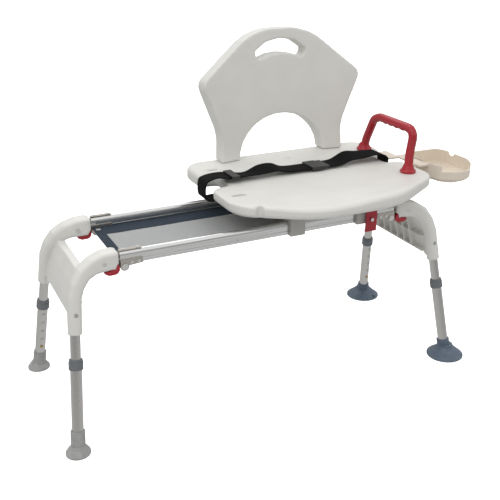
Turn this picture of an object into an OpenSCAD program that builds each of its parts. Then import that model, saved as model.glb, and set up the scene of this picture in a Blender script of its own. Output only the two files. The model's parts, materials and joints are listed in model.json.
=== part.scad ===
/* [Overall] */
// How far the feet stand out beyond the fold pivots, along the rails
foot_reach = 152.3; // [140:0.1:180]
// How far the feet stand out beyond the rails, front to back
foot_spread = 86; // [76:0.1:110]
// Height of the rails' tube centre above the floor
rail_z = 410; // [400:1:440]
// Half the distance between the two rails
rail_y = 112.5; // [108:0.5:125]

/* [Rails] */
// Width of a rail
rail_w = 19; // [17:0.5:21]
// Height of the rail below its tube centre
rail_drop = 20; // [19:0.5:22]
// Wall of the rail's tube
rail_wall = 1.7; // [1.2:0.1:2.2]
// Distance from the rail's end to the fold pivot
rail_end_gap = 11; // [11:0.5:14]
// Distance from the middle to each fold pivot
pivot_x = 343; // [335:0.5:350]
// Depth of the fold pivot below the rail's tube centre
pivot_drop = 24.5; // [24:0.1:26]
// Radius of the fold pivot rod
pivot_r = 5; // [4:0.25:5.5]
// Thickness of the hinge bracket's steel
bracket_t = 2.5; // [2:0.1:3]

/* [Legs] */
// Outer diameter of the leg's lower tube
lower_d = 25.4; // [24.4:0.1:27]
// Outer diameter of the leg's upper tube
upper_d = 22.2; // [20:0.1:22.2]
// Wall of both leg tubes
tube_wall = 1.4; // [1:0.1:1.45]
// Distance between two height holes
hole_pitch = 25.4; // [20:0.1:28]
// Number of height holes
hole_count = 5; // [3:1:5]
// Radius of a height hole
hole_r = 3.6; // [3:0.1:4]
// Distance along the leg from the floor to its lowest height hole
first_hole = 76.2; // [70:0.1:85]
// Length of the lower tube above its lowest end
lower_len = 190; // [190:1:200]
// Radius of the rubber tip's flared base
tip_r = 27.5; // [24:0.5:32]
// Radius of the suction cup
cup_r = 47; // [40:0.5:52]

/* [Seat] */
// Distance from the middle to the seat's own middle
seat_x = 190; // [183:1:196]
// Half the seat's width
seat_half = 274; // [262:1:282]
// Distance from the middle to the seat's front edge
seat_front = 226; // [214:1:236]
// Distance from the middle to the seat's rear edge
seat_rear = 214; // [212:1:222]
// Height of the seat's top above the rails' tube centre
seat_top = 80; // [78:1:90]
// Height of the seat's rim
rim_h = 38; // [34:1:40]
// Depth of the dish in the seat
dish = 9; // [4:0.5:12]
// Travel of the seat along the rails
seat_travel = 352; // [300:2:352]

/* [Backrest] */
// Height of the backrest
back_h = 326; // [280:1:340]
// Thickness of the backrest
back_t = 44; // [38:1:46]
// Half the backrest's width at its shoulders
back_half = 219; // [200:1:230]
// Lean of the backrest
back_lean = 3; // [0:0.5:4]
// Radius of the backrest's hollow curve
back_curve = 1100; // [900:10:2000]

/* [Handle and holder] */
// Diameter of the handle's bar
handle_d = 22; // [17:0.5:24]
// Height of the handle above the seat
handle_h = 103; // [90:1:120]
// Depth of the soap and cup holder
holder_h = 43; // [35:1:44]
// Wall of the soap and cup holder
holder_wall = 3; // [2:0.5:4]

/* [Belt] */
// Width of the belt's webbing
belt_w = 50; // [38:1:52]
// Thickness of the webbing
belt_t = 2.4; // [1.5:0.1:2.6]

/* [Hidden] */
$fn = 40;

// Clearances
slip = 0.3;
run = 0.06;
fit = 0.1;

// Colours
white = [0.88, 0.88, 0.86];
red = [0.66, 0.13, 0.18];
steel = [0.55, 0.54, 0.52];
alloy = [0.68, 0.68, 0.67];
slate = [0.24, 0.32, 0.38];
rubber = [0.42, 0.43, 0.45];
beige = [0.85, 0.79, 0.71];
navy = [0.22, 0.25, 0.30];
black = [0.06, 0.06, 0.06];

// Feet
foot_x = pivot_x + foot_reach;
foot_y = rail_y + foot_spread;

// Rail section
rail_r = rail_w / 2;
groove_z = rail_z - 12;
groove_h = 1.6;
keder_r = 2.6;
keder_z = rail_z - 15.5;
slot_h = 2.2;
rail_end = pivot_x - rail_end_gap;
tube_end = pivot_x + 9;
plug_len = 5;
bridge_z = rail_z - 13;
rail_bottom = rail_z - rail_drop;

// Fold pivot and its bracket
pivot_z = rail_z - pivot_drop;
lobe_r = 10;
boss_r = 9;
plate_start = pivot_x - 41;
plate_end = pivot_x + 9;
plate_gap = 0.2;
cheek_out = rail_y + rail_r + plate_gap;
cheek_in = rail_y - rail_r - plate_gap - bracket_t;
rivet_x = [plate_start + 9, plate_start + 25];
rivet_z = rail_z - 16;
rivet_r = 2;
rivet_head_r = 3.6;
strap_w = 11;
strap_t = 2;
strap_z = rail_z + rail_r + 0.1;
strap_rivet_x = [plate_start + 8, plate_end - 9];
rod_head_r = 7;
rod_head_t = 1.8;

// Leg line: slopes outward, from the foot's contact up to the sleeve
lean_x = 0.105;
lean_y = 0.1956;
leg_norm = sqrt(1 + lean_x * lean_x + lean_y * lean_y);
leg_tilt = asin(lean_y / leg_norm);
leg_swing = -atan(lean_x);
lower_start = 14;
upper_start = first_hole - 12;
sleeve_bottom = pivot_z - 117.5;
upper_end = sleeve_bottom + 77;
collar_h = 22;
collar_r = lower_d / 2 + 3;
collar_top = lower_start + lower_len + 9;

// End frame
arm_w = 41;
arm_h = 42;
arm_end_x = pivot_x + 14;
tongue_t = 10;
latch_t = 30;
latch_pin_x = pivot_x + 23;
latch_pin_z = pivot_z + 1;
latch_pin_r = 2.5;
pocket_top = pivot_z + 10.5;
web_t = 4;
web_top_z = pivot_z - 12;
web_bottom_z = pivot_z - 108;
web_half = rail_y + 11.5;
rib_t = 3;
rib_depth = 16;
rib_pitch = 30;
rib_count = 6;

// Fabric panel between the rails
panel_t = 1.6;
panel_half = plate_start - 1;
panel_nose = plate_end + 1;
panel_nose_y = rail_y - 15.5;
border_y = rail_y - 60.5;
border_x = panel_nose - 22;

// Seat, carriage and lock
seat_z = rail_z + seat_top;
rim_bottom = seat_z - rim_h;
seat_skin = 5;
slider_len = 38;
slider_x = [seat_x - 114, seat_x + 84];
slider_top = rail_z + 20;
bar_w = 26;
bar_h = 12;
bar_z = slider_top + bar_h;
screw_y = rail_y - 30;
lock_x = slider_x[1];
lock_body = 16;
lock_z = groove_z + groove_h / 2;
lock_r = 2.8;
lock_hole_r = 3.1;
lock_depth = 4.5;
pin_gap = 0.3;
lock_steps = 3;
lever_w = 30;
lever_t = 3.5;
lever_y = rail_y + 23.5;
lever_z = slider_top;
lever_drop = 64;
lever_pin_r = 2;

// Backrest
back_front = seat_rear - 41;
peg_r = 9.5;
peg_x = 150;
peg_depth = 30;
peg_up = 60;
peg_y = back_front - peg_x * peg_x / (2 * back_curve) + back_t / 2;
slot_half = 75;
arch_half = 123;
arch_h = 110;
foot_out = 179;

// Handle, holder and belt
handle_x = seat_x + seat_half - 48;
handle_feet = [-80, 120];
holder_x = seat_x + seat_half + 31;
foot_z = [seat_z - dish + 1, seat_z];
foot_bore = seat_z - dish - seat_skin - 10;
groove = [seat_x - seat_half + 48, -seat_front + 100 * (1 - 48 / (seat_half - 110)), -34];
drains = [[seat_x - seat_half + 45, -52, 36, 14], [seat_x - seat_half + 56, seat_rear - 86, 30, 12],
    [seat_x + 3, seat_rear - 72, 16, 8], [seat_x + seat_half - 167, 24, 16, 8]];
holder_y = -38;
holder_right = holder_x + 117;
lug_x = seat_x + seat_half - 24;
lug_y = -20;
belt_y = 45;
belt_z = seat_z - dish + 70 * 70 * dish / (160 * 160) + 6;
buckle_x = seat_x + 32;
notch_x = seat_x + seat_half - 50;
tab_y = 62;

// The box's middle is the origin
shift_x = ((foot_x + tip_r) - holder_right) / 2;

module place() { translate([shift_x, 0, 0]) children(); }

// Mirrors what is drawn for the right back corner to another corner
module corner(sx, sy) {
    place() mirror([sx < 0 ? 1 : 0, 0, 0]) mirror([0, sy < 0 ? 1 : 0, 0]) children();
}

// Local z runs up the leg from the floor, and local -y faces the other leg
module leg_space() {
    translate([foot_x, foot_y, 0]) rotate([leg_tilt, leg_swing, 0]) children();
}

// A cylinder along y between two y values
module y_cyl(r, x, z, y0, y1) {
    translate([x, y0, z]) rotate([-90, 0, 0]) cylinder(r = r, h = y1 - y0);
}

// A profile drawn in x and z, given thickness along y
module xz_plate(y0, y1) {
    translate([0, y1, 0]) rotate([90, 0, 0]) linear_extrude(y1 - y0) children();
}

// A profile drawn in y and z, given length along x
module yz_bar(x0, x1) {
    translate([x0, 0, 0]) rotate([90, 0, 90]) linear_extrude(x1 - x0) children();
}

// A block given by its two corners
module block(low, high) {
    translate(low) cube(high - low);
}

// Points of one rounded corner at q, turning from p to r with a given radius
function unit(v) = v / norm(v);
function round_corner(p, q, r, rad, n = 6) =
    let(a = unit(p - q), b = unit(r - q), half = acos(a * b) / 2,
        c = q + unit(a + b) * rad / sin(half), s = q + a * rad / tan(half),
        e = q + b * rad / tan(half), a0 = atan2(s[1] - c[1], s[0] - c[0]),
        a1 = atan2(e[1] - c[1], e[0] - c[0]), d = (a1 - a0 + 540) % 360 - 180)
    [for (i = [0:n]) c + rad * [cos(a0 + d * i / n), sin(a0 + d * i / n)]];
// Each corner is [x, y, radius]
function rounded(pts, n = 6) =
    [for (i = [0:len(pts) - 1])
        let(k = len(pts), p = pts[(i + k - 1) % k], q = pts[i], r = pts[(i + 1) % k])
        each round_corner([p[0], p[1]], [q[0], q[1]], [r[0], r[1]], q[2], n)];
// A half outline and its mirror image, as one closed outline
function both_halves(pts) =
    concat(pts, [for (i = [len(pts) - 1:-1:0]) [-pts[i][0], pts[i][1], pts[i][2]]]);
// A strip of constant thickness along a line of points
function side_dir(pts, i) =
    let(a = pts[max(i - 1, 0)], b = pts[min(i + 1, len(pts) - 1)], u = unit(b - a)) [-u[1], u[0]];
function strip(pts, t) =
    concat([for (i = [0:len(pts) - 1]) pts[i] + side_dir(pts, i) * t / 2],
        [for (i = [len(pts) - 1:-1:0]) pts[i] - side_dir(pts, i) * t / 2]);

// ---- Base: rails, brackets, pivot rods and panel ----

module rail_section() {
    difference() {
        union() {
            translate([0, rail_z]) circle(r = rail_r);
            translate([-rail_r, groove_z + groove_h]) square([rail_w, rail_z - groove_z - groove_h]);
            translate([-rail_r + 1.6, groove_z]) square([rail_w - 3.2, groove_h]);
            translate([-rail_r, rail_bottom]) square([rail_w, groove_z - rail_bottom]);
        }
        translate([0, rail_z]) circle(r = rail_r - rail_wall);
        translate([-rail_r + rail_wall, groove_z + 5])
            square([rail_w - 2 * rail_wall, rail_z - groove_z - 5]);
        translate([0, keder_z]) circle(r = keder_r);
        translate([-rail_r - 1, keder_z - slot_h / 2]) square([rail_r + 1, slot_h]);
    }
}

module rail(locked) {
    color(alloy) difference() {
        yz_bar(-tube_end, tube_end) translate([rail_y, 0]) rail_section();
        for (s = [0, 1]) mirror([s, 0, 0]) block([rail_end, 0, 0],
            [tube_end + 1, rail_y + 50, bridge_z + bracket_t + 0.2]);
        for (s = [-1, 1], x = rivet_x)
            y_cyl(rivet_r + slip, s * x, rivet_z, rail_y + rail_r - rail_wall - 1.5, rail_y + rail_r + 1);
        for (s = [-1, 1], x = strap_rivet_x)
            translate([s * x, rail_y, rail_z]) cylinder(r = rivet_r + slip, h = 20);
        if (locked)
            for (i = [0:lock_steps - 1])
                y_cyl(lock_hole_r, lock_x - i * seat_travel / (lock_steps - 1), lock_z,
                    rail_y + rail_r - lock_depth, rail_y + rail_r + 1);
    }
}

module rail_plugs() {
    for (sx = [-1, 1], sy = [-1, 1])
        corner(sx, sy) color("dimgray") translate([tube_end - plug_len, rail_y, rail_z])
            rotate([0, 90, 0]) cylinder(r = rail_r - rail_wall - fit, h = plug_len);
}

module bracket_profile() {
    polygon([[plate_start, rail_bottom - 1], [plate_start, rail_z - 9.5], [plate_start + 3, rail_z - 8],
        [plate_end, rail_z - 8], [plate_end, pivot_z + 1], [pivot_x, pivot_z - 2],
        [pivot_x - lobe_r, pivot_z + 1], [pivot_x - lobe_r - 8, rail_bottom - 3]]);
    translate([pivot_x, pivot_z]) circle(r = lobe_r);
}

module hinge_bracket() {
    color(steel) difference() {
        union() {
            for (y = [cheek_out, cheek_in]) xz_plate(y, y + bracket_t) bracket_profile();
            block([rail_end + 0.3, cheek_in, bridge_z],
                [plate_end - 1, cheek_out + bracket_t, bridge_z + bracket_t]);
        }
        y_cyl(pivot_r + fit, pivot_x, pivot_z, cheek_in - 1, cheek_out + bracket_t + 1);
        for (x = rivet_x) y_cyl(rivet_r + slip, x, rivet_z, cheek_in - 1, cheek_out + bracket_t + 1);
    }
    color(steel) difference() {
        block([plate_start, rail_y - strap_w / 2, strap_z],
            [plate_end, rail_y + strap_w / 2, strap_z + strap_t]);
        for (x = strap_rivet_x)
            translate([x, rail_y, strap_z - 1]) cylinder(r = rivet_r + slip, h = strap_t + 2);
    }
}

module bracket_rivets() {
    for (sx = [-1, 1], sy = [-1, 1])
        corner(sx, sy) color("silver") for (x = rivet_x) {
            y_cyl(rivet_r, x, rivet_z, rail_y + rail_r - rail_wall - 1, cheek_out + bracket_t + 0.5);
            y_cyl(rivet_head_r, x, rivet_z, cheek_out + bracket_t, cheek_out + bracket_t + 1.2);
            y_cyl(rivet_head_r - 1.4, x, rivet_z, cheek_out + bracket_t + 1, cheek_out + bracket_t + 1.9);
        }
    for (sx = [-1, 1], sy = [-1, 1], x = strap_rivet_x)
        corner(sx, sy) color("silver") translate([x, rail_y, strap_z]) {
            translate([0, 0, -rail_wall - 1]) cylinder(r = rivet_r, h = rail_wall + strap_t + 1.5);
            translate([0, 0, strap_t]) cylinder(r = rivet_head_r, h = 1.2);
        }
}

module pivot_rod(sx) {
    rod_end = cheek_out + bracket_t + fit;
    corner(sx, 1) color("silver") {
        y_cyl(pivot_r, pivot_x, pivot_z, -rod_end - 0.5, rod_end + 0.5);
        y_cyl(rod_head_r, pivot_x, pivot_z, rod_end, rod_end + rod_head_t);
        y_cyl(rod_head_r, pivot_x, pivot_z, -rod_end - rod_head_t, -rod_end);
    }
}

module mesh_panel() {
    place() color("gray") block([-border_x + 0.05, -border_y + 0.05, keder_z - panel_t / 2],
        [border_x - 0.05, border_y - 0.05, keder_z + panel_t / 2]);
}

module panel_binding() {
    place() color(navy) {
        difference() {
            union() {
                block([-panel_half, -rail_y, keder_z - panel_t / 2],
                    [panel_half, rail_y, keder_z + panel_t / 2]);
                block([-panel_nose, -panel_nose_y, keder_z - panel_t / 2],
                    [panel_nose, panel_nose_y, keder_z + panel_t / 2]);
            }
            block([-border_x, -border_y, keder_z - 5], [border_x, border_y, keder_z + 5]);
            for (s = [-1, 1], x = [-1, 1])
                translate([x * (panel_nose - 11), s * (panel_nose_y - 14), keder_z - 5])
                    cylinder(r = 2.3, h = 10);
        }
        for (s = [-1, 1])
            translate([-panel_half, s * rail_y, keder_z]) rotate([0, 90, 0])
                cylinder(r = keder_r - slip, h = 2 * panel_half);
    }
}

module panel_snaps() {
    place() color("silver") for (s = [-1, 1], x = [-1, 1])
        translate([x * (panel_nose - 11), s * (panel_nose_y - 14), keder_z - 2]) {
            cylinder(r = 2, h = 4);
            for (z = [-0.4, 2 + panel_t / 2 + 0.1]) translate([0, 0, z]) cylinder(r = 6, h = 1.5);
        }
}

// ---- End frames ----

function oval(h, w, r, n = 5) = rounded([[-h / 2, -w / 2, r], [h / 2, -w / 2, r], [h / 2, w / 2, r],
    [-h / 2, w / 2, r]], n);

// A thin slice of the arm at x, y, z, facing down its path
module arm_slice(s) {
    translate([s[0], s[1], s[2]]) rotate([-s[4], 90 + s[3], 0])
        linear_extrude(0.4, center = true) polygon(oval(s[5], s[6], s[7]));
}

// A point on the leg line at height z
function leg_at(z) = [foot_x - lean_x * z, foot_y - lean_y * z, z];

// x, y, z, angle down, lean out, height, width, corner radius of each slice of an arm
function arm_path() =
    let(knee = leg_at(pivot_z - 48), low = leg_at(sleeve_bottom / leg_norm),
        y0 = rail_y - 2.5, rise = pivot_z + 17.5, dy = knee[1] - y0, dx = knee[0] - arm_end_x)
    [
        [arm_end_x, y0, rise + 4.5, 0, 0, 28, arm_w - 4, 7],
        [arm_end_x + 8, y0, rise, 0, 0, arm_h, arm_w, 8],
        [arm_end_x + dx * 0.32, y0 + dy * 0.03, rise - 0.5, 5, 0, arm_h, arm_w, 9],
        [arm_end_x + dx * 0.54, y0 + dy * 0.16, rise - 6, 22, 3, arm_h - 4, arm_w - 2, 10],
        [arm_end_x + dx * 0.75, y0 + dy * 0.40, rise - 18, 40, 6, arm_h - 7, arm_w - 4, 12],
        [arm_end_x + dx * 0.91, y0 + dy * 0.70, rise - 40, 62, 9, 32, arm_w - 6, 13],
        [knee[0], knee[1], knee[2], 80, 11, 31, 33, 14],
        [low[0], low[1], low[2], 84, 11, 31, 31, 15.4]
    ];

module arm() {
    path = arm_path();
    difference() {
        for (i = [0:len(path) - 2]) hull() {
            arm_slice(path[i]);
            arm_slice(path[i + 1]);
        }
        leg_space() translate([0, 0, sleeve_bottom - 20])
            cylinder(r = upper_d / 2 + slip, h = upper_end - sleeve_bottom + 21);
        block([arm_end_x - 5, rail_y - tongue_t / 2 - slip, pivot_z - 20],
            [pivot_x + 60, rail_y + tongue_t / 2 + slip, pivot_z + 21]);
        block([arm_end_x - 5, rail_y - latch_t / 2 - 0.5, pivot_z - 20],
            [latch_pin_x + 11, rail_y + latch_t / 2 + 0.5, pocket_top]);
        y_cyl(screw_r + fit, arm_screw[0], arm_screw[1], rail_y - 40, rail_y + 40);
        y_cyl(screw_head_r + slip, arm_screw[0], arm_screw[1], rail_y + arm_w / 2 - 5, rail_y + 40);
        leg_space() translate([0, 0, sleeve_bottom + 44]) rotate([-90, 0, 0]) translate([0, 0, 13.9])
            cylinder(r = screw_head_r + slip, h = 20);
        leg_space() translate([0, 0, sleeve_bottom + 44]) rotate([-90, 0, 0])
            cylinder(r = screw_r + fit, h = 40);
    }
}
arm_screw = [pivot_x + 45.3, pivot_z + 13.5];
screw_r = 2.4;
screw_head_r = 4.4;

// The web's outer line in x and z, from its top to its bottom
function web_line() = [[pivot_x + 91, web_top_z], [pivot_x + 105, web_top_z - 32],
    [pivot_x + 115, web_top_z - 66], [pivot_x + 121, web_bottom_z]];

module web() {
    line = web_line();
    xz_plate(-web_half, web_half) polygon(strip(line, web_t));
    for (i = [0:rib_count - 1])
        let(y = (i - (rib_count - 1) / 2) * rib_pitch)
            xz_plate(y - rib_t / 2, y + rib_t / 2) polygon(concat(line,
                [for (k = [3:-1:0]) line[k] - [rib_depth, 0]]));
    for (k = [0, 1.6, 3])
        let(p = k == 1.6 ? [pivot_x + 112, web_top_z - 54] : line[k])
            block([p[0] - rib_depth, -web_half, p[1] - rib_t / 2], [p[0], web_half, p[1] + rib_t / 2]);
    for (s = [-1, 1])
        translate([line[3][0] - web_t / 2, 0, 0]) rotate([90, 0, 90]) linear_extrude(web_t)
            polygon([[s * web_half, web_bottom_z + 2], [s * (web_half - 28), web_bottom_z + 2],
                [s * (web_half - 16), web_bottom_z - 4], [s * (web_half - 6), web_bottom_z - 14],
                [s * (web_half + 4), web_bottom_z - 14]]);
}

module end_frame(sx) {
    corner(sx, 1) color(white) difference() {
        union() {
            arm();
            mirror([0, 1, 0]) arm();
            web();
        }
        for (s = [0, 1]) mirror([0, s, 0]) leg_space() translate([0, 0, sleeve_bottom - 20])
            cylinder(r = upper_d / 2 + slip, h = upper_end - sleeve_bottom + 21);
    }
}

module hinge_tongues(sx) {
    for (sy = [-1, 1]) corner(sx, sy) color(steel) difference() {
        xz_plate(rail_y - tongue_t / 2, rail_y + tongue_t / 2) {
            translate([pivot_x, pivot_z]) circle(r = boss_r);
            polygon([[pivot_x, pivot_z + boss_r], [pivot_x + 12, pivot_z + 10.5],
                [pivot_x + 24, pivot_z + 17],
                [pivot_x + 57, pivot_z + 18.5],
                [pivot_x + 57, pivot_z + 1], [pivot_x + 14, pivot_z - 4], [pivot_x, pivot_z - 7]]);
        }
        y_cyl(pivot_r + run, pivot_x, pivot_z, rail_y - 20, rail_y + 20);
        y_cyl(latch_pin_r + fit, latch_pin_x, latch_pin_z, rail_y - 20, rail_y + 20);
        y_cyl(screw_r + fit, arm_screw[0], arm_screw[1], rail_y - 20, rail_y + 20);
    }
}

module upper_leg(sx, sy) {
    corner(sx, sy) color(alloy) leg_space() difference() {
        translate([0, 0, upper_start]) cylinder(r = upper_d / 2, h = upper_end - upper_start);
        translate([0, 0, upper_start - 1])
            cylinder(r = upper_d / 2 - tube_wall, h = upper_end - upper_start + 2);
        translate([0, 0, first_hole]) rotate([90, 0, 0]) cylinder(r = hole_r, h = upper_d);
        translate([0, 0, sleeve_bottom + 44]) rotate([-90, 0, 0]) cylinder(r = screw_r + fit, h = 40);
    }
}

module frame_fasteners(sx) {
    screw_end = rail_y + arm_w / 2 - 5;
    for (sy = [-1, 1]) corner(sx, sy) color("silver") {
        y_cyl(screw_r, arm_screw[0], arm_screw[1], rail_y - arm_w / 2 - 2.7, screw_end + 1);
        y_cyl(screw_head_r, arm_screw[0], arm_screw[1], screw_end + fit, screw_end + 2.4);
        y_cyl(screw_head_r, arm_screw[0], arm_screw[1], rail_y - arm_w / 2 - 4.7,
            rail_y - arm_w / 2 - 2.6);
        leg_space() translate([0, 0, sleeve_bottom + 44]) rotate([-90, 0, 0]) {
            translate([0, 0, upper_d / 2 - tube_wall - 2]) cylinder(r = screw_r, h = 7);
            translate([0, 0, 14]) cylinder(r = screw_head_r, h = 1.9);
        }
        y_cyl(latch_pin_r, latch_pin_x, latch_pin_z, rail_y - latch_t / 2, rail_y + latch_t / 2);
    }
}

module snap_button(sx, sy) {
    corner(sx, sy) color("peru") leg_space() translate([0, 0, first_hole]) {
        rotate([90, 0, 0]) cylinder(r = hole_r - slip, h = lower_d / 2 + 2.4);
        block([-3, -upper_d / 2 + tube_wall + 0.4, -8], [3, -upper_d / 2 + tube_wall + 1.4, 34]);
        block([-3, -upper_d / 2 + tube_wall + 0.4, 33], [3, upper_d / 2 - tube_wall - 0.6, 34]);
        block([-3, upper_d / 2 - tube_wall - 1.6, -8], [3, upper_d / 2 - tube_wall - 0.6, 34]);
    }
}

module fold_latch(sx, sy) {
    x0 = pivot_x + 12.2;
    z0 = pivot_z - 12;
    corner(sx, sy) color(red) difference() {
        xz_plate(rail_y - latch_t / 2, rail_y + latch_t / 2) polygon(rounded([
            [x0, z0 + 6, 5], [x0 + 6, z0 - 1.5, 8], [x0 + 24, z0 - 2.5, 12], [pivot_x + 47, z0 + 4, 2],
            [pivot_x + 44, z0 + 7.2, 1.5], [latch_pin_x + 10, z0 + 8, 2],
                [latch_pin_x + 6, latch_pin_z + 5, 3],
            [latch_pin_x - 4, latch_pin_z + 6.5, 3], [x0, latch_pin_z + 5, 3]], 4));
        block([x0 - 5, rail_y - tongue_t / 2 - 0.4, z0 + 3.6],
            [latch_pin_x + 12, rail_y + tongue_t / 2 + 0.4, pivot_z + 20]);
        y_cyl(latch_pin_r + run, latch_pin_x, latch_pin_z, rail_y - 20, rail_y + 20);
    }
}

// ---- Lower legs ----

module lower_leg(sx, sy) {
    corner(sx, sy) color(alloy) leg_space() difference() {
        translate([0, 0, lower_start]) cylinder(r = lower_d / 2, h = lower_len);
        translate([0, 0, lower_start - 1]) cylinder(r = lower_d / 2 - tube_wall, h = lower_len + 2);
        for (i = [0:hole_count - 1])
            translate([0, 0, first_hole + i * hole_pitch]) rotate([90, 0, 0])
                cylinder(r = hole_r, h = lower_d);
    }
}

module collar(sx, sy) {
    corner(sx, sy) color("dimgray") leg_space() difference() {
        union() {
            translate([0, 0, collar_top - collar_h]) cylinder(r = collar_r, h = collar_h - 5);
            translate([0, 0, collar_top - 5]) cylinder(r = collar_r - 1, h = 5);
        }
        translate([0, 0, collar_top - collar_h - 1]) cylinder(r = lower_d / 2 + fit, h = collar_h - 8);
        translate([0, 0, collar_top - collar_h - 1]) cylinder(r = upper_d / 2 + slip, h = collar_h + 2);
    }
}

module tube_socket() {
    leg_space() translate([0, 0, lower_start]) cylinder(r = lower_d / 2 + fit, h = 80);
}

module rubber_tip(sy) {
    corner(-1, sy) color(rubber) difference() {
        union() {
            translate([foot_x, foot_y, 0]) rotate_extrude() polygon([[0, 0], [tip_r, 0], [tip_r, 4],
                [tip_r - 4, 10], [17.5, 17], [16, 20], [0, 20]]);
            leg_space() translate([0, 0, 8]) cylinder(r = lower_d / 2 + 3.2, h = 44);
        }
        tube_socket();
        block([0, 0, -20], [900, 400, 0]);
    }
}

module suction_cup(sy) {
    corner(1, sy) color(slate) difference() {
        union() {
            translate([foot_x, foot_y, 0]) rotate_extrude() polygon([[0, 7], [30, 5.5], [cup_r - 5, 0],
                [cup_r, 0], [cup_r, 3], [cup_r - 9, 10], [26, 20], [20, 26], [18, 31], [0, 31]]);
            leg_space() translate([0, 0, 14]) cylinder(r = lower_d / 2 + 3.5, h = 31);
            translate([foot_x, foot_y, 0]) rotate([0, 0, -60])
                block([cup_r - 14, -8, 4], [cup_r - 1, 8, 12]);
        }
        tube_socket();
    }
}

// ---- Seat and carriage ----

// Outline of the seat about its own middle, pulled in by a margin
function seat_outline(m) =
    let(w = seat_half - m, f = -seat_front + m, b = seat_rear - m, n = seat_half - notch_x + seat_x)
    rounded(both_halves([[110, f, 200], [w, f + 100, 80 - m], [w, 9 - m, 22], [w - n, 17 - m, 14],
        [w - n, 94 + m, 14], [w - 4, 102 + m, 20], [w - 4, b, 50 - m]]), 6);

module seat_shell() {
    dish_r = (160 * 160) / (2 * dish);
    edge = [[0, 0.2, 9], [0.12, 0.3, 3.5], [0.22, 0.78, 0], [0.7, 0.9, 3], [0.8, 1, 8]];
    place() translate([seat_x, 0, 0]) color(white) difference() {
        union() {
            for (e = edge)
                translate([0, 0, rim_bottom + e[0] * rim_h]) linear_extrude((e[1] - e[0]) * rim_h)
                    polygon(seat_outline(e[2]));
            for (s = [-1, 1], x = slider_x)
                translate([x - seat_x, s * screw_y, bar_z]) cylinder(r = 9, h = rim_bottom + 6 - bar_z);
        }
        difference() {
            translate([-400, -50, seat_z + dish_r - dish]) rotate([0, 90, 0])
                cylinder(r = dish_r, h = 800, $fn = 200);
            translate([handle_x - seat_x, handle_feet[0], 0]) cylinder(r = 20.5, h = foot_z[0]);
        }
        difference() {
            translate([0, 0, rim_bottom - 1]) linear_extrude(rim_h - dish - seat_skin)
                polygon(seat_outline(14));
            for (s = [-1, 1]) {
                translate([s * peg_x, peg_y, 0]) cylinder(r = peg_r + 6, h = seat_z);
                for (x = slider_x) translate([x - seat_x, s * screw_y, 0]) cylinder(r = 9, h = seat_z);
                block([s * peg_x - 2, 60, rim_bottom], [s * peg_x + 2, peg_y, seat_z]);
            }
            block([-seat_half, 128, rim_bottom + 4], [seat_half, 132, seat_z]);
            block([-seat_half, -60, rim_bottom + 4], [seat_half, -56, seat_z]);
            for (p = handle_feet) translate([handle_x - seat_x, p, 0]) cylinder(r = 14, h = seat_z);
            translate([lug_x - seat_x, lug_y, 0]) cylinder(r = 9, h = seat_z);
            for (d = drains) translate([d[0] - seat_x, d[1], 0]) linear_extrude(seat_z)
                polygon(oval(d[2] + 8, d[3] + 8, d[3] / 2 + 3.7));
            translate([groove[0] - seat_x, groove[1], 0]) cylinder(r = 14, h = seat_z);
        }
        for (s = [-1, 1]) {
            translate([s * peg_x, peg_y, seat_z - peg_depth])
                cylinder(r = peg_r + slip, h = peg_depth + 1);
            for (x = slider_x)
                translate([x - seat_x, s * screw_y, bar_z - 1])
                    cylinder(r = screw_r + fit, h = rim_bottom + 14 - bar_z);
        }
        for (p = handle_feet) {
            translate([handle_x - seat_x, p, rim_bottom - 1]) cylinder(r = screw_r + fit, h = rim_h + 2);
            translate([handle_x - seat_x, p, rim_bottom - 1])
                cylinder(r = screw_head_r + 1, h = foot_bore - rim_bottom + 1);
        }
        translate([lug_x - seat_x, lug_y, rim_bottom - 1]) cylinder(r = screw_r + fit, h = 16);
        translate([groove[0] - seat_x, groove[1], rim_bottom - 1]) rotate([0, 0, groove[2]])
            for (k = [0, 1])
            translate([0, -k * 14, 0]) cylinder(r = 8, h = rim_h + 2);
        for (d = drains) translate([d[0] - seat_x, d[1], rim_bottom]) linear_extrude(rim_h + 2)
            polygon(oval(d[2], d[3], d[3] / 2 - 0.3));
    }
}

module slider_section() {
    difference() {
        polygon([[rail_y - 16.5, rail_z - 6], [rail_y - 16.5, slider_top], [rail_y + 18.5, slider_top],
            [rail_y + 18.5, rail_bottom - 3], [rail_y + 5, rail_bottom - 3],
                [rail_y + 5, rail_bottom - slip],
            [rail_y + rail_r + slip, rail_bottom - slip], [rail_y + rail_r + slip, rail_z],
            [rail_y - rail_r - slip, rail_z], [rail_y - rail_r - slip, rail_z - 6]]);
        translate([rail_y, rail_z]) circle(r = rail_r + slip);
    }
}

module slider(x, locked = false) {
    back = locked ? lock_body : 0;
    color("gray") difference() {
        union() {
            yz_bar(x - slider_len / 2 - back, x + slider_len / 2) slider_section();
            if (locked) for (s = [-1, 1])
                block([lock_x + s * (lever_w / 2 + 2.4) - 1.8, rail_y + 15, lever_z - 6],
                    [lock_x + s * (lever_w / 2 + 2.4) + 1.8, lever_y + 4.5, lever_z + 5]);
        }
        translate([x, rail_y, rail_z + rail_r + 2]) cylinder(r = screw_r + fit, h = 30);
        if (locked) {
            y_cyl(lock_r + run, lock_x, lock_z, rail_y, rail_y + 40);
            translate([lock_x - 40, lever_y, lever_z]) rotate([0, 90, 0])
                cylinder(r = lever_pin_r + fit, h = 80);
        }
    }
}

module cross_bars() {
    place() color(alloy) for (x = slider_x) difference() {
        block([x - bar_w / 2, -rail_y - 18.5, slider_top], [x + bar_w / 2, rail_y + 18.5, bar_z]);
        for (s = [-1, 1], y = [rail_y, screw_y])
            translate([x, s * y, 0]) cylinder(r = screw_r + fit, h = bar_z + 1);
    }
}

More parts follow.
